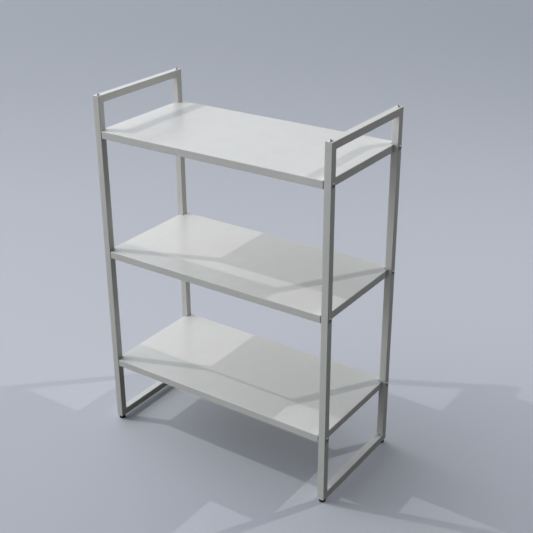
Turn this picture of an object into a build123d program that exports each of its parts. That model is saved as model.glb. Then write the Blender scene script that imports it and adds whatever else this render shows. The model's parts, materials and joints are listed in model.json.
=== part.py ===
"""Free-standing three-tier shelving unit of square steel tube and folded sheet shelves.

Two side frames of square tube stand left and right. Each is a closed loop: two posts, a top
rail that is also a carrying handle, a bottom rail and four corner blocks. Three folded steel
shelves are screwed between the frames, and four screw feet level the unit.

Millimetres, +Z up, +X to the right, -Y to the front. The origin is on the floor, under the
middle of the unit.
"""
from build123d import *
import os
from math import cos, pi, sin

# ---- overall sizes -------------------------------------------------------------------------
UNIT_WIDTH = 735.0          # across the outer faces of the two side frames
UNIT_DEPTH = 350.0          # across the outer faces of the front and rear posts
FRAME_HEIGHT = 1000.0       # side frame, without the feet
FRAME_LIFT = 10.0           # underside of the side frame above the floor, feet as delivered

# ---- side frames ---------------------------------------------------------------------------
TUBE = 20.0                 # outside of the square tube
TUBE_WALL = 1.5
TUBE_RADIUS = 1.2           # rounded long edges of the tube and of the corner blocks
SPIGOT_LENGTH = 24.0        # how far a corner block reaches into a tube
SPIGOT_FIT = 0.05           # clearance on each face of a spigot or plug in a tube
SEAM_CHAMFER = 0.4          # fine groove where a corner block meets a tube
PLUG_SINK = 4.0             # threaded plug below the top end of its post
PLUG_LENGTH = 22.0

# ---- shelves -------------------------------------------------------------------------------
SHEET = 1.2                 # folded steel sheet
LIP_HEIGHT = 21.0           # down-turned lip, over the sheet
LIP_RETURN = 10.0           # inward fold along the bottom of the lip
BEND_RADIUS = 1.5           # outside of the fold between the top and the lip
SHELF_SIDE_INSET = 10.0     # side lip inside the outer face of the side frame
SHELF_POST_GAP = 2.0        # notch face to post face, filled by the spacer washer
LOWEST_SHELF_TOP = 200.0    # top of the lowest shelf above the underside of the side frame
SHELF_PITCH = 352.5
SHELF_COUNT = 3
SCREW_DROP = 10.0           # screw axis below the top of its shelf

# ---- M6 button-head screws, weld nuts and spacer washers -----------------------------------
M6_RADIUS = 3.0
M6_HEAD_RADIUS = 5.25
M6_HEAD_HEIGHT = 3.3
M6_HEAD_FLAT_RADIUS = 2.9   # flat crown of the head
M6_SOCKET_ACROSS = 4.0      # hexagon socket, across flats
M6_SOCKET_DEPTH = 2.0
M6_HOLE_RADIUS = 3.3        # clearance hole
THREAD_FIT = 0.05           # radial clearance of a screw in its thread
M6_NUT_ACROSS = 10.0
M6_NUT_HEIGHT = 5.0
SHELF_SCREW_SPARE = 2.0     # thread standing through the nut
SPACER_RADIUS = 7.0
CORNER_SCREW_GRIP = 14.0    # thread of a corner screw held in its plug

# ---- M8 screw feet -------------------------------------------------------------------------
STUD_RADIUS = 4.0
STUD_TOP = 34.0             # top end of the stud above the underside of the side frame
STUD_HEX_ACROSS = 13.0
STUD_HEX_HEIGHT = 2.5
PAD_RADIUS = 9.0
PAD_HEIGHT = 6.0
PAD_EDGE_RADIUS = 1.5
PAD_FLOOR = 1.5             # plastic under the stud's flange
STUD_FLANGE_RADIUS = 5.2    # flange that the pad snaps over
STUD_FLANGE_HEIGHT = 1.5
PAD_RUNNING_GAP = 0.1       # between the turning stud and its pad
HEX_TO_PAD_GAP = 0.2

# ---- places worked out from the sizes ------------------------------------------------------
FRAME_TOP = FRAME_LIFT + FRAME_HEIGHT
POST_X = UNIT_WIDTH / 2 - TUBE / 2
POST_Y = UNIT_DEPTH / 2 - TUBE / 2
TUBE_INSIDE = TUBE - 2 * TUBE_WALL
SPIGOT = TUBE_INSIDE - 2 * SPIGOT_FIT
POST_LENGTH = FRAME_HEIGHT - 2 * TUBE
RAIL_LENGTH = UNIT_DEPTH - 2 * TUBE
SHELF_TOPS = [FRAME_LIFT + LOWEST_SHELF_TOP + level * SHELF_PITCH for level in range(SHELF_COUNT)]
SHELF_NAMES = ["bottom_shelf", "middle_shelf", "top_shelf"]
NOTCH_X = POST_X - TUBE / 2 - SHELF_POST_GAP
NOTCH_Y = POST_Y - TUBE / 2 - SHELF_POST_GAP
SHELF_HALF_WIDTH = UNIT_WIDTH / 2 - SHELF_SIDE_INSET
SHELF_HALF_DEPTH = UNIT_DEPTH / 2
SIDES = {"left": -1, "right": 1}
ENDS = {"front": -1, "rear": 1}


def corners():
    """Yield a name, the X sign and the Y sign of each of the four corners of the unit."""
    for end, end_sign in ENDS.items():
        for side, side_sign in SIDES.items():
            yield f"{side}_{end}", side_sign, end_sign


def save(name, *solids):
    """Write one node as parts/NAME.step, as separate solids where it is a group."""
    shape = solids[0] if len(solids) == 1 else Compound(children=list(solids))
    shape.label = name
    export_step(shape, f"parts/{name}.step")


def cylinder(radius, length, low_z=0.0):
    """Upright cylinder whose lower face is at low_z."""
    return Pos(0, 0, low_z) * Cylinder(radius, length, align=(Align.CENTER, Align.CENTER, Align.MIN))


def hexagon(across, height, low_z=0.0):
    """Upright hexagonal prism of the given size across flats."""
    reach = across / 2 / cos(pi / 6)
    points = [(reach * cos(k * pi / 3), reach * sin(k * pi / 3)) for k in range(6)]
    return Pos(0, 0, low_z) * extrude(make_face(Polyline(*points, close=True)), amount=height)


def square_tube(length):
    """Upright hollow tube, centred on the origin."""
    outside = Box(TUBE, TUBE, length)
    outside = fillet(outside.edges().filter_by(Axis.Z), TUBE_RADIUS)
    return outside - Box(TUBE_INSIDE, TUBE_INSIDE, length)


def button_screw(length):
    """M6 screw standing on its shank: the head's seat is at Z 0, the shank points down."""
    with BuildPart() as head:
        with BuildSketch(Plane.XZ):
            with BuildLine():
                crown = (M6_HEAD_FLAT_RADIUS, M6_HEAD_HEIGHT)
                Polyline((0, M6_HEAD_HEIGHT), (0, 0), (M6_HEAD_RADIUS, 0))
                RadiusArc((M6_HEAD_RADIUS, 0), crown, -M6_HEAD_RADIUS)
                Line(crown, (0, M6_HEAD_HEIGHT))
            make_face()
        revolve(axis=Axis.Z)
    socket = hexagon(M6_SOCKET_ACROSS, M6_SOCKET_DEPTH, M6_HEAD_HEIGHT - M6_SOCKET_DEPTH)
    return head.part + cylinder(M6_RADIUS, length, -length) - socket


# ---- side frames ---------------------------------------------------------------------------

def post(side_sign, end_sign):
    """Square tube post with a hole right through, along X, at each shelf."""
    body = square_tube(POST_LENGTH)
    body = Pos(side_sign * POST_X, end_sign * POST_Y, FRAME_LIFT + FRAME_HEIGHT / 2) * body
    for shelf_top in SHELF_TOPS:
        drill = Rot(0, 90, 0) * Cylinder(M6_HOLE_RADIUS, 2 * TUBE)
        body -= Pos(side_sign * POST_X, end_sign * POST_Y, shelf_top - SCREW_DROP) * drill
    return body


def rail(side_sign, centre_z):
    """Square tube running front to back between two corner blocks."""
    return Pos(side_sign * POST_X, 0, centre_z) * Rot(90, 0, 0) * square_tube(RAIL_LENGTH)


def corner_cube():
    """Cube of a top front corner block: the post is below it and the rail is behind it."""
    cube = Box(TUBE, TUBE, TUBE)
    half = TUBE / 2
    upright = [e for e in cube.edges().filter_by(Axis.Z) if e.center().Y < 0]
    along = [e for e in cube.edges().filter_by(Axis.Y) if e.center().Z > 0]
    across = [e for e in cube.edges().filter_by(Axis.X) if e.center().Y < 0 and e.center().Z > 0]
    cube = fillet(upright + along + across, TUBE_RADIUS)
    below = cube.faces().sort_by(Axis.Z)[0].edges()
    behind = cube.faces().sort_by(Axis.Y)[-1].edges()
    seams = [e for e in below if e.center().Y < half - TUBE_RADIUS]
    seams += [e for e in behind if e.center().Z > TUBE_RADIUS - half]
    return chamfer(seams, SEAM_CHAMFER)


def rail_spigot():
    """Spigot that points back from the corner cube into its rail."""
    return Pos(0, TUBE / 2 + SPIGOT_LENGTH / 2, 0) * Box(SPIGOT, SPIGOT_LENGTH, SPIGOT)


def post_spigot(length):
    """Spigot that points down from the corner cube into its post."""
    return Pos(0, 0, -TUBE / 2 - length / 2) * Box(SPIGOT, SPIGOT, length)


def top_corner_block(side_sign, end_sign):
    """Corner block with a clear hole for the screw that holds it down on the post."""
    block = corner_cube() + rail_spigot() + post_spigot(PLUG_SINK)
    block -= cylinder(M6_HOLE_RADIUS, 2 * TUBE, -TUBE)
    turned = Rot(0, 0, 0 if end_sign < 0 else 180) * block
    return Pos(side_sign * POST_X, end_sign * POST_Y, FRAME_TOP - TUBE / 2) * turned


def bottom_corner_block(side_sign, end_sign):
    """Corner block with a spigot up into the post and an M8 thread for the foot."""
    block = corner_cube() + rail_spigot() + post_spigot(SPIGOT_LENGTH)
    block -= cylinder(STUD_RADIUS + THREAD_FIT, 2 * (TUBE + SPIGOT_LENGTH), -TUBE - SPIGOT_LENGTH)
    turned = Rot(180, 0, 0) * block
    turned = Rot(0, 0, 180 if end_sign < 0 else 0) * turned
    return Pos(side_sign * POST_X, end_sign * POST_Y, FRAME_LIFT + TUBE / 2) * turned


def post_plug(side_sign, end_sign):
    """Threaded plug pressed into the top of a post, under the corner block."""
    plug = Box(SPIGOT, SPIGOT, PLUG_LENGTH)
    plug -= Cylinder(M6_RADIUS + THREAD_FIT, 2 * PLUG_LENGTH)
    top_z = FRAME_TOP - TUBE - PLUG_SINK
    return Pos(side_sign * POST_X, end_sign * POST_Y, top_z - PLUG_LENGTH / 2) * plug


def corner_screw(side_sign, end_sign):
    """Screw down through a top corner block into the plug."""
    length = TUBE + PLUG_SINK + CORNER_SCREW_GRIP
    return Pos(side_sign * POST_X, end_sign * POST_Y, FRAME_TOP) * button_screw(length)


# ---- shelves and what holds them -----------------------------------------------------------

def shelf_outline(inset):
    """Face of the shelf's plan, notched at the four posts and drawn in by the inset."""
    notch_x, notch_y = NOTCH_X - inset, NOTCH_Y - inset
    side_x, front_y = SHELF_HALF_WIDTH - inset, SHELF_HALF_DEPTH - inset
    quarter = [(side_x, -notch_y), (side_x, notch_y), (notch_x, notch_y), (notch_x, front_y)]
    points = quarter + [(-x, y) for x, y in reversed(quarter)]
    points += [(-notch_x, -front_y), (notch_x, -front_y), (notch_x, -notch_y)]
    points.insert(-3, (-notch_x, -notch_y))
    return make_face(Polyline(*points, close=True))


def shelf(shelf_top):
    """Tray turned upside down: flat top, lips all round, and returns under the four lips."""
    body = extrude(shelf_outline(0), amount=-LIP_HEIGHT)
    top_edges = body.faces().sort_by(Axis.Z)[-1].edges()
    body = fillet(top_edges, BEND_RADIUS)
    hollow = extrude(shelf_outline(SHEET), amount=-(LIP_HEIGHT - 2 * SHEET))
    body -= Pos(0, 0, -SHEET) * hollow
    mouth_width = 2 * (SHELF_HALF_WIDTH - LIP_RETURN)
    mouth_depth = 2 * (SHELF_HALF_DEPTH - LIP_RETURN)
    mouth = extrude(shelf_outline(SHEET), amount=-2 * SHEET)
    mouth = mouth & Box(mouth_width, mouth_depth, 8 * SHEET)
    body -= Pos(0, 0, SHEET - LIP_HEIGHT) * mouth
    for _, side_sign, end_sign in corners():
        drill = Rot(0, 90, 0) * Cylinder(M6_HOLE_RADIUS, 6 * SHEET)
        body -= Pos(side_sign * NOTCH_X, end_sign * POST_Y, -SCREW_DROP) * drill
    return Pos(0, 0, shelf_top) * body


def across_post(solid, side_sign, end_sign, reach_x, shelf_top):
    """Turn a solid so that its +Z points outwards along X, and put it on a shelf's screw axis."""
    turned = Rot(0, 90 * side_sign, 0) * solid
    return Pos(side_sign * reach_x, end_sign * POST_Y, shelf_top - SCREW_DROP) * turned


def shelf_screws(shelf_top):
    """The four screws of a shelf, from the outer face of each post."""
    length = TUBE + SHELF_POST_GAP + SHEET + M6_NUT_HEIGHT + SHELF_SCREW_SPARE
    seat_x = UNIT_WIDTH / 2
    return [across_post(button_screw(length), x, y, seat_x, shelf_top) for _, x, y in corners()]


def spacer_washers(shelf_top):
    """The four washers between the posts and the notch faces of a shelf."""
    washer = cylinder(SPACER_RADIUS, SHELF_POST_GAP) - cylinder(M6_HOLE_RADIUS, SHELF_POST_GAP)
    return [across_post(washer, x, y, NOTCH_X, shelf_top) for _, x, y in corners()]


def weld_nuts(shelf_top):
    """The four nuts welded behind the notch faces of a shelf."""
    nut = hexagon(M6_NUT_ACROSS, M6_NUT_HEIGHT)
    nut -= cylinder(M6_RADIUS + THREAD_FIT, M6_NUT_HEIGHT)
    seat_x = NOTCH_X - SHEET - M6_NUT_HEIGHT
    return [across_post(nut, x, y, seat_x, shelf_top) for _, x, y in corners()]


# ---- screw feet ----------------------------------------------------------------------------

def foot_pad(side_sign, end_sign):
    """Round pad on the floor, with a stepped socket that snaps over the stud's flange."""
    pad = cylinder(PAD_RADIUS, PAD_HEIGHT)
    pad = fillet(pad.edges().filter_by(GeomType.CIRCLE), PAD_EDGE_RADIUS)
    flange_room = STUD_FLANGE_HEIGHT + 2 * PAD_RUNNING_GAP
    pad -= cylinder(STUD_FLANGE_RADIUS + PAD_RUNNING_GAP, flange_room, PAD_FLOOR)
    pad -= cylinder(STUD_RADIUS + PAD_RUNNING_GAP, PAD_HEIGHT, PAD_FLOOR)
    return Pos(side_sign * POST_X, end_sign * POST_Y, 0) * pad


def foot_stud(side_sign, end_sign):
    """M8 stud with a flange inside the pad and a hexagon above it."""
    low_z = PAD_FLOOR + PAD_RUNNING_GAP
    stud = cylinder(STUD_RADIUS, FRAME_LIFT + STUD_TOP - low_z, low_z)
    stud += cylinder(STUD_FLANGE_RADIUS, STUD_FLANGE_HEIGHT, low_z)
    stud += hexagon(STUD_HEX_ACROSS, STUD_HEX_HEIGHT, PAD_HEIGHT + HEX_TO_PAD_GAP)
    return Pos(side_sign * POST_X, end_sign * POST_Y, 0) * stud


def main():
    os.makedirs("parts", exist_ok=True)
    for name, side_sign, end_sign in corners():
        save(f"{name}_post", post(side_sign, end_sign))
        save(f"{name}_top_corner_block", top_corner_block(side_sign, end_sign))
        save(f"{name}_bottom_corner_block", bottom_corner_block(side_sign, end_sign))
        save(f"{name}_post_plug", post_plug(side_sign, end_sign))
        save(f"{name}_foot_pad", foot_pad(side_sign, end_sign))
        save(f"{name}_foot_stud", foot_stud(side_sign, end_sign))
    for side, side_sign in SIDES.items():
        save(f"{side}_top_rail", rail(side_sign, FRAME_TOP - TUBE / 2))
        save(f"{side}_bottom_rail", rail(side_sign, FRAME_LIFT + TUBE / 2))
    save("corner_screws", *[corner_screw(x, y) for _, x, y in corners()])
    for name, shelf_top in zip(SHELF_NAMES, SHELF_TOPS):
        save(name, shelf(shelf_top))
        save(f"{name}_screws", *shelf_screws(shelf_top))
        save(f"{name}_spacer_washers", *spacer_washers(shelf_top))
        save(f"{name}_weld_nuts", *weld_nuts(shelf_top))


main()
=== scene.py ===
"""Looks of the three-tier shelving unit: powder-coated tube and sheet, plated screws, plastic feet."""

import json
from math import cos, pi, radians, sin, tan

import bmesh
import bpy
from mathutils import Matrix, Vector


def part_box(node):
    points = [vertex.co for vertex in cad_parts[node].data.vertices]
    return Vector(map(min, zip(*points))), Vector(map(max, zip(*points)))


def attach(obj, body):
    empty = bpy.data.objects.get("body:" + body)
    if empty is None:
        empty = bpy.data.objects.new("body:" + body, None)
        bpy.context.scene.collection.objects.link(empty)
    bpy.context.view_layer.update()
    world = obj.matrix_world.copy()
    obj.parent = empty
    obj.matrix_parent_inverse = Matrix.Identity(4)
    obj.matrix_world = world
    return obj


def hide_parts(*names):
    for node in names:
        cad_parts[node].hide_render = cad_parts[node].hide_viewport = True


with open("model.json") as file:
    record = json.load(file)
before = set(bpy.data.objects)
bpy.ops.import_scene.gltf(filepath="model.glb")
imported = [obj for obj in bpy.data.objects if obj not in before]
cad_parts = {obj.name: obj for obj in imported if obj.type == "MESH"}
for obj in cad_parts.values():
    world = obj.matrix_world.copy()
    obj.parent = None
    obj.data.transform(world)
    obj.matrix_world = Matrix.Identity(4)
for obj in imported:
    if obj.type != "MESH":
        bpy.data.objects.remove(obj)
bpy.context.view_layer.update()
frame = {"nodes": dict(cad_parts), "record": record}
NODES = frame["nodes"]
MM = 0.001
CUT_REACH = 0.001 * MM              # how near to a cutting plane counts as on it
WELD_REACH = 0.004 * MM             # points this near after a cut are one point

# ---- names and places of the unit, read from the frame -------------------------------------
SIDES = {"left": -1, "right": 1}
ENDS = {"front": -1, "rear": 1}
CORNERS = {f"{side}_{end}": (sx, sy) for end, sy in ENDS.items() for side, sx in SIDES.items()}
SHELVES = ["bottom_shelf", "middle_shelf", "top_shelf"]
UNIT = "shelving_unit"

POST_LOW, POST_HIGH = (Vector(corner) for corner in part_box("right_rear_post"))
TUBE = POST_HIGH.x - POST_LOW.x
POST_X = (POST_LOW.x + POST_HIGH.x) / 2
POST_Y = (POST_LOW.y + POST_HIGH.y) / 2
FRAME_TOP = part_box("left_top_rail")[1][2]
FRAME_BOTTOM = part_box("left_bottom_rail")[0][2]
RAIL_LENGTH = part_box("left_top_rail")[1][1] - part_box("left_top_rail")[0][1]

# ---- how finely round shapes are divided ---------------------------------------------------
HOLE_STEPS = 32
LATHE_STEPS = 48
FINE_LATHE_STEPS = 64
PAD_STEPS = 96

# ---- tube and corner blocks ----------------------------------------------------------------
TUBE_WALL = 1.5 * MM
TUBE_RADIUS = 1.2 * MM
TUBE_BEND_STEPS = 4
SEAM_EASE = 1.1 * MM                # rim that looks up on a post, and the front rim of a rail
SEAM_EDGE = 0.35 * MM               # every other rim of a seam, nearly sharp
SPIGOT = TUBE - 2 * TUBE_WALL - 0.1 * MM
SPIGOT_LENGTH = 24 * MM
TOP_SPIGOT_LENGTH = 4 * MM          # a top block only reaches down to the post plug
SPIGOT_EASE = 1 * MM                # chamfer that lets a spigot into its tube
SCREW_HOLE = 3.3 * MM
FOOT_HOLE = 4.05 * MM

# ---- shelves -------------------------------------------------------------------------------
SHEET = 1.2 * MM
LIP_RETURN = 10 * MM
BEND_RADIUS = 1.5 * MM
BEND_STEPS = 5
RETURN_MITRE = 3 * MM               # the returns are cut back at their ends
SHELF_POST_GAP = 2 * MM
NOTCH_X = POST_LOW.x - SHELF_POST_GAP
NOTCH_Y = POST_LOW.y - SHELF_POST_GAP

# ---- screws, nuts and washers --------------------------------------------------------------
M6_RADIUS = 3 * MM
M6_PITCH = 1 * MM
M6_HEAD_RADIUS = 5.25 * MM
M6_HEAD_HEIGHT = 3.3 * MM
M6_CROWN_RADIUS = 2.9 * MM
M6_SOCKET_ACROSS = 4 * MM
M6_SOCKET_DEPTH = 2 * MM
NUT_ACROSS = 10 * MM
NUT_HEIGHT = 5 * MM
NUT_BORE = 3.05 * MM
NUT_CHAMFER = 0.5 * MM
NUT_COUNTERSINK = 0.4 * MM
WASHER_EDGE = 0.3 * MM
HEAD_CROWN_EDGE = 0.25 * MM
HEAD_SEAT_EDGE = 0.12 * MM
SOCKET_EDGE = 0.15 * MM
SHANK_ROOT = 0.4 * MM               # how far the thread runs up into the head
SHANK_TIP = 0.6 * MM                # chamfer on the tip of the shank
SHELF_SCREW_SPIN = 17               # degrees that spread the turns of the sockets
CORNER_SCREW_SPIN = 23
SPACER_RADIUS = 7 * MM
SHELF_SCREW_LENGTH = TUBE + SHELF_POST_GAP + SHEET + NUT_HEIGHT + 2 * MM
CORNER_SCREW_LENGTH = TUBE + TOP_SPIGOT_LENGTH + 14 * MM

# ---- screw feet ----------------------------------------------------------------------------
M8_RADIUS = 4 * MM
M8_PITCH = 1.25 * MM
THREAD_DEPTH_RATIO = 0.61           # depth of a metric thread for its pitch
STUD_TOP = FRAME_BOTTOM + 34 * MM
STUD_HEX_ACROSS = 13 * MM
STUD_HEX_LOW = 6.2 * MM
STUD_HEX_HIGH = 8.7 * MM
FLANGE_RADIUS = 5.2 * MM
FLANGE_LOW = 1.6 * MM
FLANGE_HIGH = 3.1 * MM
PAD_RADIUS = 9 * MM
PAD_HEIGHT = 6 * MM
PAD_EDGE = 1.5 * MM
PAD_FLOOR = 1.5 * MM
PAD_CLEARANCE = 0.1 * MM
PAD_LEAD_IN = 0.3 * MM              # chamfer round the mouth of the pad's socket
PAD_FLUTES = 24
FLUTE_INSET = 0.12 * MM
FLUTE_DEPTH = 0.28 * MM
STUD_HEX_CHAMFER = 0.7 * MM
STUD_NECK_GAP = 0.1 * MM
STUD_EASE = 0.2 * MM
STUD_TIP = 0.8 * MM

# ---- camera, floor and light ---------------------------------------------------------------
CAMERA_PLACE = Vector((1.4565, -2.0355, 1.7158))
CAMERA_AZIMUTH = 35.504
CAMERA_ELEVATION = 24.859
CAMERA_ROLL = -0.757
CAMERA_LENS = 67.32
CAMERA_SHIFT = (0.0352, -0.0112)

FLOOR_SIZE = 30.0
FLOOR_COLOUR = (0.50, 0.52, 0.56, 1.0)
FLOOR_BOUNCE = (0.09, 0.093, 0.10, 1.0)     # what all but the camera see, darker than it shows
FLOOR_ROUGHNESS = 0.75

BACKDROP = (0.40, 0.42, 0.47, 1.0)  # what the camera sees past the floor
MIRRORED_SHARE = 0.7                # how much of the glow a glossy surface mirrors
SKY = {                             # where a soft glow comes from, how narrow it is, its colour
    "ceiling": ((0, 0, 1), 2, (0.061, 0.114, 0.214)),
    "left_wall": ((-1, 0, 0), 2, (3.79, 3.89, 4.16)),
    "front_wall": ((0, -1, 0), 2, (0.519, 0.509, 0.435)),
    "rear_wall": ((0, 1, 0), 2, (0.202, 0.182, 0.040)),
}
LAMPS = {                           # place, aim, size and power in each colour
    "rear_right_lamp": ((1.58, 2.11, 3.2), (0, 0, 0.5), (0.03, 0.03), (33.0, 31.4, 31.7)),
    "front_left_lamp": ((-2.76, -1.1, 3.6), (0, 0, 0.5), (0.03, 0.03), (43.5, 42.0, 40.8)),
}


def make_camera():
    data = bpy.data.cameras.new("camera")
    data.lens = CAMERA_LENS
    data.shift_x, data.shift_y = CAMERA_SHIFT
    camera = bpy.data.objects.new("camera", data)
    bpy.context.scene.collection.objects.link(camera)
    turn = Matrix.Rotation(radians(CAMERA_AZIMUTH), 4, "Z")
    turn = turn @ Matrix.Rotation(radians(90 - CAMERA_ELEVATION), 4, "X")
    turn = turn @ Matrix.Rotation(radians(CAMERA_ROLL), 4, "Z")
    camera.matrix_world = Matrix.Translation(CAMERA_PLACE) @ turn
    bpy.context.scene.camera = camera


def make_lamp(name, place, aim, size, power):
    data = bpy.data.lights.new(name, "AREA")
    data.shape = "RECTANGLE"
    data.size, data.size_y = size
    data.energy = max(power)
    data.color = [part / max(power) for part in power]
    lamp = bpy.data.objects.new(name, data)
    bpy.context.scene.collection.objects.link(lamp)
    turn = (Vector(aim) - Vector(place)).to_track_quat("-Z", "Y").to_matrix().to_4x4()
    lamp.matrix_world = Matrix.Translation(Vector(place)) @ turn


def make_sky():
    """Sum of a few broad glows, dimmed where they are mirrored; the camera sees a plain backdrop."""
    world = bpy.data.worlds.new("studio")
    world.use_nodes = True
    bpy.context.scene.world = world
    tree = world.node_tree
    where = add_node(tree, "ShaderNodeTexCoord").outputs["Generated"]
    total = None
    for direction, sharpness, colour in SKY.values():
        facing = add_node(tree, "ShaderNodeVectorMath", operation="DOT_PRODUCT")
        facing.inputs[1].default_value = direction
        tree.links.new(where, facing.inputs[0])
        lit = add_math(tree, "MAXIMUM", facing.outputs["Value"], 0.0)
        glow = add_math(tree, "POWER", lit, sharpness)
        part = add_node(tree, "ShaderNodeVectorMath", operation="SCALE")
        part.inputs[0].default_value = colour
        tree.links.new(glow, part.inputs["Scale"])
        if total is None:
            total = part.outputs["Vector"]
            continue
        both = add_node(tree, "ShaderNodeVectorMath", operation="ADD")
        tree.links.new(total, both.inputs[0])
        tree.links.new(part.outputs["Vector"], both.inputs[1])
        total = both.outputs["Vector"]
    rays = add_node(tree, "ShaderNodeLightPath")
    share = add_span(tree, rays.outputs["Is Glossy Ray"], 0.0, 1.0, 1.0, MIRRORED_SHARE)
    lit = add_node(tree, "ShaderNodeVectorMath", operation="SCALE")
    tree.links.new(total, lit.inputs[0])
    tree.links.new(share, lit.inputs["Scale"])
    seen = add_mix(tree, rays.outputs["Is Camera Ray"], lit.outputs["Vector"], BACKDROP)
    tree.links.new(seen, tree.nodes["Background"].inputs["Color"])


def make_floor():
    bpy.ops.mesh.primitive_plane_add(size=FLOOR_SIZE)
    floor = bpy.context.object
    floor.name = "studio_floor"
    material, tree, shader = new_material("studio_floor", FLOOR_COLOUR, FLOOR_ROUGHNESS)
    rays = add_node(tree, "ShaderNodeLightPath")
    tone = add_mix(tree, rays.outputs["Is Camera Ray"], FLOOR_BOUNCE, FLOOR_COLOUR)
    tree.links.new(tone, shader.inputs["Base Color"])
    floor.data.materials.append(material)


# ---- shader helpers ------------------------------------------------------------------------

def add_node(tree, kind, **settings):
    node = tree.nodes.new(kind)
    for name, value in settings.items():
        setattr(node, name, value)
    return node


def feed(tree, socket, value):
    """Link an output to the socket, or set a plain number or colour on it."""
    if isinstance(value, bpy.types.NodeSocket):
        tree.links.new(value, socket)
    else:
        socket.default_value = value


def add_math(tree, operation, first, second=0.0):
    node = add_node(tree, "ShaderNodeMath", operation=operation)
    feed(tree, node.inputs[0], first)
    feed(tree, node.inputs[1], second)
    return node.outputs[0]


def add_mix(tree, factor, first, second):
    """Mix two colours; sockets 0, 6 and 7 of the node are its factor and its two colours."""
    node = add_node(tree, "ShaderNodeMix", data_type="RGBA")
    feed(tree, node.inputs[0], factor)
    feed(tree, node.inputs[6], first)
    feed(tree, node.inputs[7], second)
    return node.outputs[2]


def add_span(tree, value, from_low, from_high, to_low=0.0, to_high=1.0):
    node = add_node(tree, "ShaderNodeMapRange")
    for index, part in enumerate((value, from_low, from_high, to_low, to_high)):
        feed(tree, node.inputs[index], part)
    return node.outputs[0]


def add_noise(tree, where, scale, detail=2.0, roughness=0.5):
    node = add_node(tree, "ShaderNodeTexNoise")
    feed(tree, node.inputs["Vector"], where)
    feed(tree, node.inputs["Scale"], scale)
    feed(tree, node.inputs["Detail"], detail)
    feed(tree, node.inputs["Roughness"], roughness)
    return node.outputs["Fac"]


def add_group(tree, group, **values):
    node = add_node(tree, "ShaderNodeGroup", node_tree=group)
    for name, value in values.items():
        feed(tree, node.inputs[name.replace("_", " ")], value)
    return node


def new_group(name, inputs, outputs):
    """Empty shader node group with number inputs and the outputs given as a name and a kind."""
    group = bpy.data.node_groups.new(name, "ShaderNodeTree")
    for label, value in inputs.items():
        socket = group.interface.new_socket(label, in_out="INPUT", socket_type="NodeSocketFloat")
        socket.default_value = value
    for label, kind in outputs.items():
        group.interface.new_socket(label, in_out="OUTPUT", socket_type=f"NodeSocket{kind}")
    return group, group.nodes.new("NodeGroupInput").outputs, group.nodes.new("NodeGroupOutput").inputs


def new_material(name, colour, roughness, metallic=0.0):
    material = bpy.data.materials.new(name)
    material.use_nodes = True
    shader = material.node_tree.nodes["Principled BSDF"]
    shader.inputs["Base Color"].default_value = colour
    shader.inputs["Roughness"].default_value = roughness
    shader.inputs["Metallic"].default_value = metallic
    return material, material.node_tree, shader


def add_bump(tree, shader, height, distance, strength=1.0):
    bump = add_node(tree, "ShaderNodeBump")
    bump.inputs["Strength"].default_value = strength
    bump.inputs["Distance"].default_value = distance
    tree.links.new(height, bump.inputs["Height"])
    tree.links.new(bump.outputs["Normal"], shader.inputs["Normal"])


# ---- effects that several finishes share ---------------------------------------------------

def make_grain_group():
    """Fine random surface relief, as of orange peel in a coat or a sparked mould."""
    group, given, out = new_group("surface_grain", {"Scale": 500.0, "Detail": 2.0}, {"Height": "Float"})
    where = add_node(group, "ShaderNodeTexCoord").outputs["Object"]
    fine = add_noise(group, where, given["Scale"], given["Detail"])
    broad_scale = add_math(group, "MULTIPLY", given["Scale"], 0.23)
    broad = add_noise(group, where, broad_scale, 1.0)
    height = add_math(group, "ADD", fine, add_math(group, "MULTIPLY", broad, 0.8))
    group.links.new(height, out["Height"])
    return group


def make_handling_group():
    """Broad soft patches where hands and cloths have polished or dulled a surface."""
    inputs = {"Scale": 9.0, "Low": 0.45, "High": 0.7}
    group, given, out = new_group("handling_marks", inputs, {"Mask": "Float"})
    where = add_node(group, "ShaderNodeTexCoord").outputs["Object"]
    broad = add_noise(group, where, given["Scale"], 4.0, 0.6)
    mask = add_span(group, broad, given["Low"], given["High"])
    group.links.new(mask, out["Mask"])
    return group


def make_scratch_group():
    """Sparse hairline scratches in two crossing directions."""
    group, given, out = new_group("hairlines", {"Scale": 60.0, "Width": 0.012}, {"Mask": "Float"})
    where = add_node(group, "ShaderNodeTexCoord").outputs["Object"]
    lines = []
    for angle, stretch in ((24.0, 0.05), (-51.0, 0.08)):
        turned = add_node(group, "ShaderNodeMapping")
        turned.inputs["Rotation"].default_value = (0.0, 0.0, radians(angle))
        turned.inputs["Scale"].default_value = (stretch, 1.0, 1.0)
        group.links.new(where, turned.inputs["Vector"])
        cells = add_node(group, "ShaderNodeTexVoronoi", feature="DISTANCE_TO_EDGE")
        group.links.new(turned.outputs["Vector"], cells.inputs["Vector"])
        group.links.new(given["Scale"], cells.inputs["Scale"])
        thin = add_span(group, cells.outputs["Distance"], 0.0, given["Width"], 1.0, 0.0)
        gate = add_span(group, add_noise(group, where, 14.0 + angle / 10), 0.55, 0.7)
        lines.append(add_math(group, "MULTIPLY", thin, gate))
    group.links.new(add_math(group, "MAXIMUM", *lines), out["Mask"])
    return group


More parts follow.
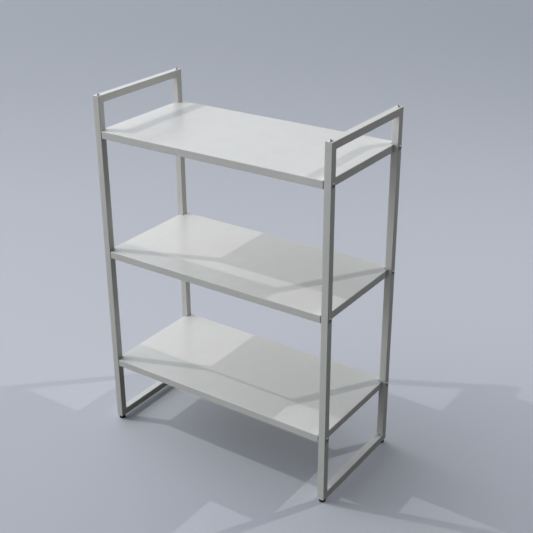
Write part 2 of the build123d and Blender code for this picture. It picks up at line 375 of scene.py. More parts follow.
def make_edge_group():
    """Mask of the outer edges, broken up so that it is uneven along them: wear on the metal and plastic
    parts, a painted highlight on the powder coat.
    """
    inputs = {"Radius": 0.0008, "Breakup": 90.0, "Amount": 1.0}
    group, given, out = new_group("edge_wear_and_highlight", inputs, {"Mask": "Float"})
    rounded = add_node(group, "ShaderNodeBevel", samples=4)
    group.links.new(given["Radius"], rounded.inputs["Radius"])
    plain = add_node(group, "ShaderNodeNewGeometry")
    match = add_node(group, "ShaderNodeVectorMath", operation="DOT_PRODUCT")
    group.links.new(rounded.outputs["Normal"], match.inputs[0])
    group.links.new(plain.outputs["Normal"], match.inputs[1])
    edge = add_span(group, match.outputs["Value"], 0.995, 0.88)
    where = add_node(group, "ShaderNodeTexCoord").outputs["Object"]
    patchy = add_span(group, add_noise(group, where, given["Breakup"], 3.0), 0.42, 0.62)
    worn = add_math(group, "MULTIPLY", edge, patchy)
    group.links.new(add_math(group, "MULTIPLY", worn, given["Amount"]), out["Mask"])
    return group


def make_dust_group():
    """Thin settled dust on faces that look up."""
    group, given, out = new_group("settled_dust", {"Scale": 30.0, "Amount": 0.3}, {"Mask": "Float"})
    geometry = add_node(group, "ShaderNodeNewGeometry")
    split = add_node(group, "ShaderNodeSeparateXYZ")
    group.links.new(geometry.outputs["Normal"], split.inputs[0])
    upward = add_span(group, split.outputs["Z"], 0.6, 1.0)
    where = add_node(group, "ShaderNodeTexCoord").outputs["Object"]
    patchy = add_span(group, add_noise(group, where, given["Scale"], 6.0, 0.7), 0.35, 0.75)
    settled = add_math(group, "MULTIPLY", upward, patchy)
    group.links.new(add_math(group, "MULTIPLY", settled, given["Amount"]), out["Mask"])
    return group


# The base colours and roughnesses are the sockets' own values, which the linked nodes override.
COAT_BASE = (0.66, 0.66, 0.64, 1.0)
COAT_BASE_ROUGHNESS = 0.36
COAT_PLAIN = (0.655, 0.658, 0.632, 1.0)
COAT_HANDLED = (0.685, 0.685, 0.662, 1.0)
COAT_DUST = (0.60, 0.59, 0.56, 1.0)
# The coat's paler edge colour is a painted highlight along the folds, seams and tube corners.
COAT_EDGE_HIGHLIGHT = (0.80, 0.80, 0.785, 1.0)
COAT_ROUGHNESS = (0.33, 0.42)       # where plain, where handled
COAT_DUST_ROUGHNESS = 0.3           # added where dust lies
COAT_SCRATCH_ROUGHNESS = 0.14       # added in the hairlines
COAT_SCRATCH_DEPTH = 0.6            # share of the peel's depth
COAT_PEEL_SCALE = 420.0
COAT_PEEL_DEPTH = 0.04 * MM
COAT_GLOSS = 0.22                   # weight of the clear skin that mirrors the posts faintly
COAT_GLOSS_ROUGHNESS = 0.13

ZINC_BASE = (0.56, 0.57, 0.59, 1.0)
ZINC_BASE_ROUGHNESS = 0.3
ZINC_DARK = (0.42, 0.43, 0.45, 1.0)
ZINC_LIGHT = (0.54, 0.55, 0.56, 1.0)
ZINC_EDGE = (0.64, 0.63, 0.60, 1.0)
ZINC_ROUGHNESS = (0.36, 0.50)
ZINC_SCRATCH_ROUGHNESS = 0.2

BLACK_PLATE_BASE = (0.05, 0.05, 0.052, 1.0)
BLACK_PLATE_BASE_ROUGHNESS = 0.4
BLACK_PLATE_DARK = (0.045, 0.045, 0.047, 1.0)
BLACK_PLATE_LIGHT = (0.085, 0.083, 0.08, 1.0)
BLACK_PLATE_RUBBED = (0.33, 0.33, 0.32, 1.0)
BLACK_PLATE_ROUGHNESS = (0.32, 0.5)
BLACK_PLATE_METALLIC = 0.85
PLATE_GRAIN_DEPTH = 0.01 * MM

MOULDED_DUST = (0.30, 0.29, 0.27, 1.0)
MOULDED_RUBBED = 2.2                # how much lighter rubbed edges are
MOULDED_GRAIN_DEPTH = 0.03 * MM
BUMP_STRENGTH = 0.6
COAT_BUMP_STRENGTH = 0.5
MOULDED_BUMP_STRENGTH = 0.7

GRAIN = make_grain_group()
HANDLING = make_handling_group()
HAIRLINES = make_scratch_group()
EDGE_WEAR_AND_HIGHLIGHT = make_edge_group()
DUST = make_dust_group()


# ---- finishes ------------------------------------------------------------------------------

def make_powder_coat():
    """Off-white satin powder coat: slight peel, faint handling marks, and paler edges that are a painted
    highlight.
    """
    material, tree, shader = new_material("white_powder_coat", COAT_BASE, COAT_BASE_ROUGHNESS)
    marks = add_group(tree, HANDLING, Scale=7.0).outputs["Mask"]
    # On the coat the edge mask carries a painted highlight, mixed in towards the paler edge colour below.
    edges = add_group(tree, EDGE_WEAR_AND_HIGHLIGHT, Amount=0.8).outputs["Mask"]
    lines = add_group(tree, HAIRLINES).outputs["Mask"]
    dust = add_group(tree, DUST, Amount=0.35).outputs["Mask"]
    colour = add_mix(tree, marks, COAT_PLAIN, COAT_HANDLED)
    colour = add_mix(tree, dust, colour, COAT_DUST)
    colour = add_mix(tree, edges, colour, COAT_EDGE_HIGHLIGHT)
    tree.links.new(colour, shader.inputs["Base Color"])
    rough = add_span(tree, marks, 0.0, 1.0, *COAT_ROUGHNESS)
    rough = add_math(tree, "ADD", rough, add_math(tree, "MULTIPLY", dust, COAT_DUST_ROUGHNESS))
    rough = add_math(tree, "ADD", rough, add_math(tree, "MULTIPLY", lines, COAT_SCRATCH_ROUGHNESS))
    tree.links.new(rough, shader.inputs["Roughness"])
    shader.inputs["Coat Weight"].default_value = COAT_GLOSS
    shader.inputs["Coat Roughness"].default_value = COAT_GLOSS_ROUGHNESS
    peel = add_group(tree, GRAIN, Scale=COAT_PEEL_SCALE).outputs["Height"]
    height = add_math(tree, "SUBTRACT", peel, add_math(tree, "MULTIPLY", lines, COAT_SCRATCH_DEPTH))
    add_bump(tree, shader, height, COAT_PEEL_DEPTH, COAT_BUMP_STRENGTH)
    return material


def make_zinc():
    """Satin zinc plate, clouded and finely scratched, paler on the edges."""
    material, tree, shader = new_material("zinc_plate", ZINC_BASE, ZINC_BASE_ROUGHNESS, 1.0)
    clouds = add_group(tree, HANDLING, Scale=260.0).outputs["Mask"]
    edges = add_group(tree, EDGE_WEAR_AND_HIGHLIGHT, Radius=0.0003, Breakup=900.0).outputs["Mask"]
    lines = add_group(tree, HAIRLINES, Scale=500.0, Width=0.03).outputs["Mask"]
    colour = add_mix(tree, clouds, ZINC_DARK, ZINC_LIGHT)
    colour = add_mix(tree, edges, colour, ZINC_EDGE)
    tree.links.new(colour, shader.inputs["Base Color"])
    rough = add_span(tree, clouds, 0.0, 1.0, *ZINC_ROUGHNESS)
    rough = add_math(tree, "ADD", rough, add_math(tree, "MULTIPLY", lines, ZINC_SCRATCH_ROUGHNESS))
    tree.links.new(rough, shader.inputs["Roughness"])
    grain = add_group(tree, GRAIN, Scale=2600.0).outputs["Height"]
    add_bump(tree, shader, grain, PLATE_GRAIN_DEPTH, BUMP_STRENGTH)
    return material


def make_black_plate():
    """Black-plated steel, rubbed back to grey on the thread crests and the hexagon's corners."""
    material, tree, shader = new_material(
        "black_plate", BLACK_PLATE_BASE, BLACK_PLATE_BASE_ROUGHNESS, BLACK_PLATE_METALLIC)
    edges = add_group(tree, EDGE_WEAR_AND_HIGHLIGHT, Radius=0.0003, Breakup=700.0).outputs["Mask"]
    clouds = add_group(tree, HANDLING, Scale=200.0).outputs["Mask"]
    colour = add_mix(tree, clouds, BLACK_PLATE_DARK, BLACK_PLATE_LIGHT)
    colour = add_mix(tree, edges, colour, BLACK_PLATE_RUBBED)
    tree.links.new(colour, shader.inputs["Base Color"])
    rough = add_span(tree, clouds, 0.0, 1.0, *BLACK_PLATE_ROUGHNESS)
    tree.links.new(rough, shader.inputs["Roughness"])
    grain = add_group(tree, GRAIN, Scale=2200.0).outputs["Height"]
    add_bump(tree, shader, grain, PLATE_GRAIN_DEPTH, BUMP_STRENGTH)
    return material


def make_moulded(name, dark, light, roughness, grain_scale, dust_amount):
    """Moulded plastic: sparked-mould grain, uneven shine, rubbed edges, dust on top."""
    material, tree, shader = new_material(name, light, roughness)
    clouds = add_group(tree, HANDLING, Scale=120.0).outputs["Mask"]
    edges = add_group(tree, EDGE_WEAR_AND_HIGHLIGHT, Radius=0.0004, Breakup=500.0, Amount=0.6).outputs["Mask"]
    dust = add_group(tree, DUST, Scale=300.0, Amount=dust_amount).outputs["Mask"]
    colour = add_mix(tree, clouds, dark, light)
    worn = [min(1.0, part * MOULDED_RUBBED) for part in light[:3]] + [1.0]
    colour = add_mix(tree, edges, colour, worn)
    colour = add_mix(tree, dust, colour, MOULDED_DUST)
    tree.links.new(colour, shader.inputs["Base Color"])
    rough = add_span(tree, clouds, 0.0, 1.0, roughness - 0.06, roughness + 0.08)
    tree.links.new(rough, shader.inputs["Roughness"])
    grain = add_group(tree, GRAIN, Scale=grain_scale).outputs["Height"]
    add_bump(tree, shader, grain, MOULDED_GRAIN_DEPTH, MOULDED_BUMP_STRENGTH)
    return material


def make_finishes():
    return {
        "white_powder_coat": make_powder_coat(),
        "plated_steel": make_zinc(),
        "black_plated_steel": make_black_plate(),
        "black_plastic": make_moulded(
            "black_plastic", (0.018, 0.018, 0.019, 1), (0.03, 0.03, 0.031, 1), 0.52, 1500.0, 0.25),
        "black_nylon": make_moulded(
            "black_nylon", (0.022, 0.022, 0.023, 1), (0.036, 0.036, 0.037, 1), 0.45, 1900.0, 0.1),
        "grey_nylon": make_moulded(
            "grey_nylon", (0.22, 0.22, 0.22, 1), (0.29, 0.29, 0.285, 1), 0.48, 1700.0, 0.1),
    }


# ---- modelling helpers ---------------------------------------------------------------------

def only(piece):
    """Leave edit mode, and select just this piece."""
    if bpy.context.object and bpy.context.object.mode != "OBJECT":
        bpy.ops.object.mode_set(mode="OBJECT")
    bpy.ops.object.select_all(action="DESELECT")
    piece.select_set(True)
    bpy.context.view_layer.objects.active = piece


def edit(piece, kind="FACE"):
    only(piece)
    bpy.ops.object.mode_set(mode="EDIT")
    bpy.ops.mesh.select_mode(type=kind)


def stop_editing():
    bpy.ops.object.mode_set(mode="OBJECT")


def pick_faces(piece, wanted):
    """Select the faces whose middle and normal pass the test."""
    bpy.ops.mesh.select_mode(type="FACE")
    bpy.ops.mesh.select_all(action="DESELECT")
    mesh = bmesh.from_edit_mesh(piece.data)
    for face in mesh.faces:
        if wanted(face.calc_center_median(), face.normal):
            face.select_set(True)
    bmesh.update_edit_mesh(piece.data)


def pick_edges(piece, wanted):
    """Select the edges whose two ends pass the test."""
    bpy.ops.mesh.select_mode(type="EDGE")
    bpy.ops.mesh.select_all(action="DESELECT")
    mesh = bmesh.from_edit_mesh(piece.data)
    for edge in mesh.edges:
        if wanted(edge.verts[0].co, edge.verts[1].co):
            edge.select_set(True)
    bmesh.update_edit_mesh(piece.data)


def near(first, second, reach=0.01 * MM):
    return abs(first - second) < reach


def extrude(offset):
    bpy.ops.mesh.extrude_region_move(TRANSFORM_OT_translate={"value": offset})


def cut_flat(piece, height, keep_above):
    """Cut the piece level at a height, close the cut, and keep one side."""
    edit(piece)
    bpy.ops.mesh.select_all(action="SELECT")
    bpy.ops.mesh.bisect(
        plane_co=(0, 0, height), plane_no=(0, 0, 1), use_fill=True, threshold=CUT_REACH,
        clear_inner=keep_above, clear_outer=not keep_above)
    stop_editing()


def bevel(radius, steps):
    bpy.ops.mesh.bevel(offset=radius, segments=steps, profile=0.5, affect="EDGES")


def tidy_mesh(piece, merge=0.001 * MM):
    """Merge doubles and turn all faces outwards."""
    edit(piece, "VERT")
    bpy.ops.mesh.select_all(action="SELECT")
    bpy.ops.mesh.remove_doubles(threshold=merge)
    bpy.ops.mesh.normals_make_consistent(inside=False)
    stop_editing()


def apply_modifier(piece, kind, **settings):
    only(piece)
    modifier = piece.modifiers.new(kind.lower(), kind)
    for name, value in settings.items():
        setattr(modifier, name, value)
    bpy.ops.object.modifier_apply(modifier=modifier.name)


def combine(piece, tool, operation):
    """Cut, join or intersect the piece with a tool, which is used up."""
    apply_modifier(piece, "BOOLEAN", object=tool, operation=operation, solver="EXACT")
    bpy.data.objects.remove(tool)


def smooth(piece, angle=35):
    """Smooth over the bends and keep the flats flat."""
    only(piece)
    bpy.ops.object.shade_smooth_by_angle(angle=radians(angle))
    apply_modifier(piece, "WEIGHTED_NORMAL", keep_sharp=True, weight=80)


def add_block(size, middle=(0, 0, 0)):
    bpy.ops.object.select_all(action="DESELECT")
    bpy.ops.mesh.primitive_cube_add(size=1, location=middle, scale=size)
    bpy.ops.object.transform_apply(location=True, rotation=True, scale=True)
    return bpy.context.object


def add_prism(sides, radius, low, high):
    """Upright prism from low to high on the Z axis."""
    bpy.ops.object.select_all(action="DESELECT")
    bpy.ops.mesh.primitive_cylinder_add(
        vertices=sides, radius=radius, depth=high - low, location=(0, 0, (low + high) / 2))
    bpy.ops.object.transform_apply(location=True, rotation=True, scale=True)
    return bpy.context.object


def draw_profile(points):
    """A plane drawn in to one point, then extruded from point to point in the XZ plane."""
    bpy.ops.object.select_all(action="DESELECT")
    bpy.ops.mesh.primitive_plane_add(size=1 * MM)
    profile = bpy.context.object
    edit(profile, "VERT")
    bpy.ops.mesh.select_all(action="SELECT")
    bpy.ops.mesh.merge(type="CENTER")
    bpy.ops.transform.translate(value=(points[0][0], 0, points[0][1]))
    for start, end in zip(points, points[1:]):
        extrude((end[0] - start[0], 0, end[1] - start[1]))
    return profile


def turn_on_lathe(points, steps):
    """Solid of revolution about Z from a profile of radius and height."""
    piece = draw_profile(points)
    bpy.ops.mesh.select_all(action="SELECT")
    bpy.ops.mesh.spin(steps=steps, angle=2 * pi, center=(0, 0, 0), axis=(0, 0, 1))
    stop_editing()
    tidy_mesh(piece)
    return piece


def arc_points(centre, radius, start, end, steps):
    """Points of a profile's round stretch, from one angle to another in degrees."""
    angles = [radians(start + (end - start) * step / steps) for step in range(steps + 1)]
    return [(centre[0] + radius * cos(angle), centre[1] + radius * sin(angle)) for angle in angles]


def make_thread(radius, pitch, low, high, steps=24):
    """Closed helical thread from low to high on the Z axis."""
    root = radius - THREAD_DEPTH_RATIO * pitch
    crest = pitch / 16
    flank = pitch / 2 - crest
    start = low - 2 * pitch
    points = [(root, start), (root, start + crest), (radius, start + crest + flank)]
    points += [(radius, start + 2 * crest + flank), (root, start + pitch)]
    thread = draw_profile(points)
    stop_editing()
    turns = int((high - low) / pitch) + 5
    apply_modifier(
        thread, "SCREW", angle=2 * pi, screw_offset=pitch, iterations=turns, steps=steps,
        render_steps=steps, axis="Z", use_merge_vertices=True, merge_threshold=0.001 * MM)
    tidy_mesh(thread)
    cut_flat(thread, low, True)
    cut_flat(thread, high, False)
    tidy_mesh(thread)
    return thread


def chamfer_end(piece, radius, low, high, cut):
    """Turn the tip at low down to a chamfer."""
    points = [(0, low), (radius - cut, low), (radius + cut, low + 2 * cut), (radius + cut, high + cut)]
    points += [(0, high + cut)]
    combine(piece, turn_on_lathe(points, LATHE_STEPS), "INTERSECT")


def finish(piece, name, node, body, slot, finish_of, place=None):
    """Name the piece, put it in place in its mesh, give it its finish, hang it under its body, and hide the
    CAD node it stands in for.
    """
    piece.name = name
    piece.data.name = name
    if place is not None:
        piece.data.transform(place)
        if place.determinant() < 0:
            piece.data.flip_normals()
    piece.data.materials.clear()
    piece.data.materials.append(finish_of[slot])
    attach(piece, body)
    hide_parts(node)


def copy_of(master):
    piece = bpy.data.objects.new(master.name, master.data.copy())
    bpy.context.scene.collection.objects.link(piece)
    return piece


# ---- side frames ---------------------------------------------------------------------------

def reach_across(point):
    """How far a point lies from the tube's middle line, measured square."""
    return max(abs(point.x), abs(point.y))


def make_tube(length):
    """Square tube along Z about the origin, open at both ends."""
    inside = TUBE / 2 - TUBE_WALL
    tube = add_block((TUBE, TUBE, length))
    edit(tube)
    pick_faces(tube, lambda middle, normal: abs(normal.z) > 0.9)
    bpy.ops.mesh.inset(thickness=TUBE_WALL)
    bpy.ops.mesh.delete(type="FACE")
    pick_edges(tube, lambda a, b: near(reach_across(a), inside) and near(reach_across(b), inside))
    bpy.ops.mesh.bridge_edge_loops()
    pick_edges(tube, lambda a, b: not near(a.z, b.z) and near(abs(a.x), TUBE / 2))
    bevel(TUBE_RADIUS, TUBE_BEND_STEPS)
    for rim, ease in ((-length / 2, SEAM_EDGE), (length / 2, SEAM_EASE)):
        pick_edges(tube, lambda a, b: near(a.z, rim) and near(b.z, rim)
                   and min(reach_across(a), reach_across(b)) > inside + TUBE_WALL / 2
                   and not near((a - b).length, TUBE_WALL, 0.3 * MM))
        bevel(ease, 2)
    stop_editing()
    tidy_mesh(tube)
    return tube


def shelf_screw_height(shelf):
    low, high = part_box(f"{shelf}_screws")
    return (low[2] + high[2]) / 2


def make_posts(finishes):
    length = POST_HIGH.z - POST_LOW.z
    middle_z = (POST_HIGH.z + POST_LOW.z) / 2
    master = make_tube(length)
    for shelf in SHELVES:
        drill = add_prism(HOLE_STEPS, SCREW_HOLE, -TUBE, TUBE)
        drill.data.transform(Matrix.Rotation(pi / 2, 4, "Y"))
        drill.data.transform(Matrix.Translation((0, 0, shelf_screw_height(shelf) - middle_z)))
        combine(master, drill, "DIFFERENCE")
    smooth(master)
    for corner, (sx, sy) in CORNERS.items():
        place = Matrix.Translation((sx * POST_X, sy * POST_Y, middle_z))
        name = f"{corner}_post"
        finish(copy_of(master), f"{name}_tube", name, UNIT, "white_powder_coat", finishes, place)
    bpy.data.objects.remove(master)


def make_rails(finishes):
    master = make_tube(RAIL_LENGTH)
    smooth(master)
    for side, sx in SIDES.items():
        for level, height in (("top", FRAME_TOP - TUBE / 2), ("bottom", FRAME_BOTTOM + TUBE / 2)):
            place = Matrix.Translation((sx * POST_X, 0, height)) @ Matrix.Rotation(pi / 2, 4, "X")
            name = f"{side}_{level}_rail"
            finish(copy_of(master), f"{name}_tube", name, UNIT, "white_powder_coat", finishes, place)
    bpy.data.objects.remove(master)


def make_corner_block(post_spigot, hole, seam):
    """Corner cube of a top front corner: the post is below it and the rail is behind it."""
    half = TUBE / 2
    block = add_block((TUBE, TUBE, TUBE))
    edit(block)
    sides = lambda point: [near(abs(point.x), half), near(point.y, -half), near(point.z, half)]
    pick_edges(block, lambda a, b: sum(one and other for one, other in zip(sides(a), sides(b))) == 2
               and (near(a.x, b.x) or near(a.y, -half)))
    bevel(TUBE_RADIUS, TUBE_BEND_STEPS)
    at_post = lambda a, b: near(a.z, -half) and near(b.z, -half)
    at_rail = lambda a, b: near(a.y, half) and near(b.y, half)
    pick_edges(block, lambda a, b: at_post(a, b) and not at_rail(a, b))
    bevel(seam, 2)
    pick_edges(block, lambda a, b: at_rail(a, b) and not at_post(a, b))
    bevel(SEAM_EDGE, 2)
    stop_editing()
    for length, turn in ((post_spigot, pi), (SPIGOT_LENGTH, -pi / 2)):
        tip = half + length
        spigot = add_block((SPIGOT, SPIGOT, tip), (0, 0, tip / 2))
        edit(spigot)
        pick_edges(spigot, lambda a, b: near(a.z, tip) and near(b.z, tip))
        bevel(SPIGOT_EASE, 1)
        stop_editing()
        spigot.data.transform(Matrix.Rotation(turn, 4, "X"))
        combine(block, spigot, "UNION")
    combine(block, add_prism(LATHE_STEPS, hole, -2 * TUBE, 2 * TUBE), "DIFFERENCE")
    tidy_mesh(block, WELD_REACH)
    smooth(block)
    return block


def make_corner_blocks(finishes):
    masters = {"top": make_corner_block(TOP_SPIGOT_LENGTH, SCREW_HOLE, SEAM_EDGE)}
    masters["bottom"] = make_corner_block(SPIGOT_LENGTH, FOOT_HOLE, SEAM_EASE)
    for corner, (sx, sy) in CORNERS.items():
        for level, master in masters.items():
            height = FRAME_TOP - TUBE / 2 if level == "top" else FRAME_BOTTOM + TUBE / 2
            place = Matrix.Translation((sx * POST_X, sy * POST_Y, height))
            if sy > 0:
                place = place @ Matrix.Rotation(pi, 4, "Z")
            if level == "bottom":
                place = place @ Matrix.Rotation(pi, 4, "Z") @ Matrix.Rotation(pi, 4, "X")
            node = f"{corner}_{level}_corner_block"
            finish(copy_of(master), f"{node}_cast", node, UNIT, "white_powder_coat", finishes, place)
    for master in masters.values():
        bpy.data.objects.remove(master)


# ---- shelves -------------------------------------------------------------------------------

def make_shelf(finishes, shelf):
    """Folded tray: top sheet, lips all round, returns under the four lips, notched for the posts."""
    low, high = (Vector(corner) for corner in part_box(shelf))
    half_x, half_y, top, foot = high.x, high.y, high.z, low.z
    bpy.ops.object.select_all(action="DESELECT")
    bpy.ops.mesh.primitive_plane_add(size=2, location=(0, 0, top))
    tray = bpy.context.object
    tray.scale = (half_x, half_y, 1)
    bpy.ops.object.transform_apply(location=True, rotation=True, scale=True)
    edit(tray)
    for cut, axis in ((NOTCH_X, (1, 0, 0)), (NOTCH_Y, (0, 1, 0))):
        for side in (-1, 1):
            bpy.ops.mesh.select_all(action="SELECT")
            bpy.ops.mesh.bisect(plane_co=Vector(axis) * cut * side, plane_no=axis, threshold=CUT_REACH)
    pick_faces(tray, lambda middle, normal: abs(middle.x) > NOTCH_X and abs(middle.y) > NOTCH_Y)
    bpy.ops.mesh.delete(type="FACE")
    pick_edges(tray, lambda a, b: on_rim(a, b, half_x, half_y))
    extrude((0, 0, foot - top))
    for axis, reach, other in ((1, half_y, NOTCH_X), (0, half_x, NOTCH_Y)):
        for side in (-1, 1):
            pick_edges(tray, lambda a, b: near(a.z, foot) and near(b.z, foot)
                       and near(a[axis], side * reach) and near(b[axis], side * reach))
            inward = [0, 0, 0]
            inward[axis] = -side * LIP_RETURN
            extrude(inward)
            shrink = [1, 1, 1]
            shrink[1 - axis] = (other - RETURN_MITRE) / other
            bpy.ops.transform.resize(value=shrink, center_override=(0, 0, foot))
    bpy.ops.mesh.select_all(action="SELECT")
    bpy.ops.mesh.normals_make_consistent(inside=False)
    pick_edges(tray, lambda a, b: is_fold(a, b, half_x, half_y, top, foot))
    bevel(BEND_RADIUS, BEND_STEPS)
    stop_editing()
    apply_modifier(tray, "SOLIDIFY", thickness=SHEET, offset=-1, use_even_offset=True, use_rim=True)
    for sx, sy in CORNERS.values():
        drill = add_prism(HOLE_STEPS, SCREW_HOLE, -3 * SHEET, 3 * SHEET)
        drill.data.transform(Matrix.Rotation(pi / 2, 4, "Y"))
        drill.data.transform(Matrix.Translation((sx * NOTCH_X, sy * POST_Y, shelf_screw_height(shelf))))
        combine(tray, drill, "DIFFERENCE")
    smooth(tray)
    finish(tray, f"{shelf}_tray", shelf, UNIT, "white_powder_coat", finishes)


def on_rim(a, b, half_x, half_y):
    """Whether an edge lies on the outline of the notched top sheet."""
    for axis, reach, notch in ((0, half_x, NOTCH_X), (1, half_y, NOTCH_Y)):
        other_notch = NOTCH_Y if axis == 0 else NOTCH_X
        if near(abs(a[axis]), reach) and near(a[axis], b[axis]):
            return True
        middle = (a + b) / 2
        if near(abs(a[axis]), notch) and near(a[axis], b[axis]) and abs(middle[1 - axis]) > other_notch:
            return True
    return False


def is_fold(a, b, half_x, half_y, top, foot):
    """Whether an edge is a bend of the tray: round the top, up each corner or along a return."""
    if near(a.z, top) and near(b.z, top):
        return on_rim(a, b, half_x, half_y)
    if not near(a.z, b.z):
        return True
    for axis, reach in ((0, half_x), (1, half_y)):
        if near(a.z, foot) and near(abs(a[axis]), reach) and near(a[axis], b[axis]):
            return True
    return False


# ---- screws, nuts and washers --------------------------------------------------------------

def make_screw(length):
    """Button-head screw standing on its shank: the head's seat is at Z 0, the shank points down."""
    rise = M6_HEAD_RADIUS ** 2 - M6_CROWN_RADIUS ** 2 - M6_HEAD_HEIGHT ** 2
    drop = rise / (2 * M6_HEAD_HEIGHT)
    ball = (M6_HEAD_RADIUS ** 2 + drop ** 2) ** 0.5
    bpy.ops.object.select_all(action="DESELECT")
    bpy.ops.mesh.primitive_uv_sphere_add(segments=64, ring_count=48, radius=ball, location=(0, 0, -drop))
    head = bpy.context.object
    bpy.ops.object.transform_apply(location=True, rotation=True, scale=True)
    cut_flat(head, 0, True)
    cut_flat(head, M6_HEAD_HEIGHT, False)
    edit(head)
    pick_edges(head, lambda a, b: near(a.z, M6_HEAD_HEIGHT) and near(b.z, M6_HEAD_HEIGHT))
    bevel(HEAD_CROWN_EDGE, 3)
    pick_edges(head, lambda a, b: near(a.z, 0) and near(b.z, 0))
    bevel(HEAD_SEAT_EDGE, 2)
    stop_editing()
    tidy_mesh(head)
    reach = M6_SOCKET_ACROSS / 2 / cos(pi / 6)
    key = add_prism(6, reach, M6_HEAD_HEIGHT - M6_SOCKET_DEPTH, 2 * M6_HEAD_HEIGHT)
    combine(head, key, "DIFFERENCE")
    edit(head)
    pick_edges(head, lambda a, b: near(a.z, M6_HEAD_HEIGHT) and near(b.z, M6_HEAD_HEIGHT)
               and a.xy.length < reach + 0.05 * MM and b.xy.length < reach + 0.05 * MM)
    bevel(SOCKET_EDGE, 2)
    stop_editing()
    shank = make_thread(M6_RADIUS, M6_PITCH, -length, SHANK_ROOT)
    chamfer_end(shank, M6_RADIUS, -length, SHANK_ROOT, SHANK_TIP)
    combine(head, shank, "UNION")
    tidy_mesh(head, WELD_REACH)
    smooth(head, 40)
    return head


def socket_turn(name, step):
    """Turn of a screw's socket in degrees, taken from the letters of its name."""
    return step * sum(ord(letter) for letter in name) % 60


def make_screws(finishes):
    master = make_screw(SHELF_SCREW_LENGTH)
    for shelf in SHELVES:
        for corner, (sx, sy) in CORNERS.items():
            seat = (sx * (POST_X + TUBE / 2), sy * POST_Y, shelf_screw_height(shelf))
            spin = socket_turn(corner + shelf, SHELF_SCREW_SPIN)
            place = Matrix.Translation(seat) @ Matrix.Rotation(sx * pi / 2, 4, "Y")
            place = place @ Matrix.Rotation(radians(spin), 4, "Z")
            name = f"{shelf}_screw_{corner}"
            finish(copy_of(master), name, f"{shelf}_screws", UNIT, "plated_steel", finishes, place)
    bpy.data.objects.remove(master)
    master = make_screw(CORNER_SCREW_LENGTH)
    for corner, (sx, sy) in CORNERS.items():
        place = Matrix.Translation((sx * POST_X, sy * POST_Y, FRAME_TOP))
        place = place @ Matrix.Rotation(radians(socket_turn(corner, CORNER_SCREW_SPIN)), 4, "Z")
        name = f"corner_screw_{corner}"
        finish(copy_of(master), name, "corner_screws", UNIT, "plated_steel", finishes, place)
    bpy.data.objects.remove(master)


def make_hexagon(across, low, high, chamfer):
    """Hexagonal prism with the corners turned down at both ends."""
    prism = add_prism(6, across / 2 / cos(pi / 6), low, high)
    prism.data.transform(Matrix.Rotation(pi / 6, 4, "Z"))
    tip = across / 2 - chamfer / 2
    reach = across / 2 / cos(pi / 6) + chamfer
    rise = (reach - tip) * tan(radians(30))
    points = [(0, low), (tip, low), (reach, low + rise), (reach, high - rise), (tip, high), (0, high)]
    combine(prism, turn_on_lathe(points, FINE_LATHE_STEPS), "INTERSECT")
    tidy_mesh(prism, WELD_REACH)
    return prism


def make_weld_nuts(finishes):
    master = make_hexagon(NUT_ACROSS, 0, NUT_HEIGHT, NUT_CHAMFER)
    sink = NUT_COUNTERSINK
    points = [(0, -sink), (NUT_BORE + 2 * sink, -sink), (NUT_BORE, sink), (NUT_BORE, NUT_HEIGHT - sink)]
    points += [(NUT_BORE + 2 * sink, NUT_HEIGHT + sink), (0, NUT_HEIGHT + sink)]
    combine(master, turn_on_lathe(points, LATHE_STEPS), "DIFFERENCE")
    tidy_mesh(master, WELD_REACH)
    smooth(master, 25)
    for shelf in SHELVES:
        for corner, (sx, sy) in CORNERS.items():
            seat = (sx * (NOTCH_X - SHEET - NUT_HEIGHT), sy * POST_Y, shelf_screw_height(shelf))
            place = Matrix.Translation(seat) @ Matrix.Rotation(sx * pi / 2, 4, "Y")
            name = f"{shelf}_weld_nut_{corner}"
            finish(copy_of(master), name, f"{shelf}_weld_nuts", UNIT, "plated_steel", finishes, place)
    bpy.data.objects.remove(master)


def make_spacer_washers(finishes):
    ease = WASHER_EDGE
    inner, outer, height = SCREW_HOLE, SPACER_RADIUS, SHELF_POST_GAP
    points = arc_points((outer - ease, ease), ease, -90, 0, 3)
    points += arc_points((outer - ease, height - ease), ease, 0, 90, 3)
    points += arc_points((inner + ease, height - ease), ease, 90, 180, 3)
    points += arc_points((inner + ease, ease), ease, 180, 270, 3)
    master = turn_on_lathe(points + points[:1], FINE_LATHE_STEPS)
    smooth(master)
    for shelf in SHELVES:
        for corner, (sx, sy) in CORNERS.items():
            seat = (sx * NOTCH_X, sy * POST_Y, shelf_screw_height(shelf))
            place = Matrix.Translation(seat) @ Matrix.Rotation(sx * pi / 2, 4, "Y")
            name = f"{shelf}_spacer_washer_{corner}"
            finish(copy_of(master), name, f"{shelf}_spacer_washers", UNIT, "black_nylon", finishes, place)
    bpy.data.objects.remove(master)


# ---- screw feet ----------------------------------------------------------------------------

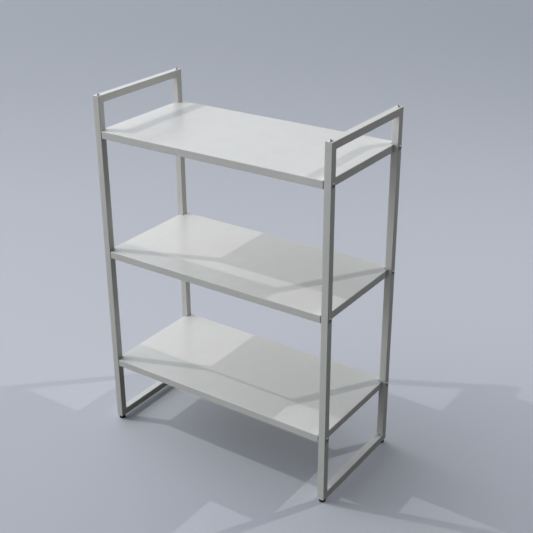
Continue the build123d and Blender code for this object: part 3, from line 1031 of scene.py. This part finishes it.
def make_foot_pad():
    """Round moulded pad with grip flutes, and the stepped socket that snaps over the stud."""
    neck = M8_RADIUS + PAD_CLEARANCE
    flange = FLANGE_RADIUS + PAD_CLEARANCE
    shoulder = FLANGE_HIGH + PAD_CLEARANCE
    side = PAD_RADIUS - PAD_EDGE
    points = [(0, 0)]
    points += arc_points((side, PAD_EDGE), PAD_EDGE, -90, 0, 5)
    points += arc_points((side, PAD_HEIGHT - PAD_EDGE), PAD_EDGE, 0, 90, 5)
    points += [(neck + PAD_LEAD_IN, PAD_HEIGHT), (neck, PAD_HEIGHT - PAD_LEAD_IN), (neck, shoulder)]
    points += [(flange, shoulder), (flange, PAD_FLOOR), (0, PAD_FLOOR)]
    pad = turn_on_lathe(points, PAD_STEPS)
    edit(pad)
    flute = 2 * pi / PAD_FLUTES
    pick_faces(pad, lambda middle, normal: middle.xy.length > PAD_RADIUS - 0.1 * MM and abs(normal.z) < 0.1
               and (middle.xy.angle_signed(Vector((1, 0))) % flute) < flute / 2)
    bpy.ops.mesh.inset(thickness=FLUTE_INSET, depth=-FLUTE_DEPTH, use_individual=False)
    stop_editing()
    tidy_mesh(pad)
    smooth(pad, 40)
    return pad


def make_foot_stud():
    """M8 stud with a flange inside the pad, a hexagon above it and a thread up into the frame."""
    stud = make_hexagon(STUD_HEX_ACROSS, STUD_HEX_LOW, STUD_HEX_HIGH, STUD_HEX_CHAMFER)
    neck = M8_RADIUS - STUD_NECK_GAP
    ease = STUD_EASE
    points = [(0, FLANGE_LOW), (FLANGE_RADIUS - ease, FLANGE_LOW), (FLANGE_RADIUS, FLANGE_LOW + ease)]
    points += [(FLANGE_RADIUS, FLANGE_HIGH - ease), (FLANGE_RADIUS - ease, FLANGE_HIGH)]
    points += [(neck, FLANGE_HIGH), (neck, STUD_HEX_HIGH - ease), (0, STUD_HEX_HIGH - ease)]
    combine(stud, turn_on_lathe(points, LATHE_STEPS), "UNION")
    thread = make_thread(M8_RADIUS, M8_PITCH, STUD_HEX_HIGH - ease, STUD_TOP)
    top_cut = STUD_TIP
    points = [(0, 0), (M8_RADIUS + top_cut, 0), (M8_RADIUS + top_cut, STUD_TOP - 2 * top_cut)]
    points += [(M8_RADIUS - top_cut, STUD_TOP), (0, STUD_TOP)]
    combine(thread, turn_on_lathe(points, LATHE_STEPS), "INTERSECT")
    combine(stud, thread, "UNION")
    tidy_mesh(stud, WELD_REACH)
    smooth(stud, 40)
    return stud


def make_feet(finishes):
    pad, stud = make_foot_pad(), make_foot_stud()
    for corner, (sx, sy) in CORNERS.items():
        place = Matrix.Translation((sx * POST_X, sy * POST_Y, 0))
        name = f"{corner}_foot_pad"
        finish(copy_of(pad), f"{name}_moulded", name, f"{corner}_pad", "black_plastic", finishes, place)
        name = f"{corner}_foot_stud"
        finish(
            copy_of(stud), f"{name}_threaded", name, f"{corner}_stud", "black_plated_steel", finishes, place)
    bpy.data.objects.remove(pad)
    bpy.data.objects.remove(stud)


def coat_plain_nodes(finishes):
    """Give every CAD node its finish, seen or not."""
    for part in frame["record"]["subparts"]:
        mesh = NODES[part["node"]].data
        mesh.materials.clear()
        mesh.materials.append(finishes[part["material_slot"]])


def main():
    bpy.context.scene.view_settings.view_transform = "Standard"
    make_camera()
    make_sky()
    for name, settings in LAMPS.items():
        make_lamp(name, *settings)
    make_floor()
    finishes = make_finishes()
    coat_plain_nodes(finishes)
    make_posts(finishes)
    make_rails(finishes)
    make_corner_blocks(finishes)
    for shelf in SHELVES:
        make_shelf(finishes, shelf)
    make_screws(finishes)
    make_weld_nuts(finishes)
    make_spacer_washers(finishes)
    make_feet(finishes)


main()
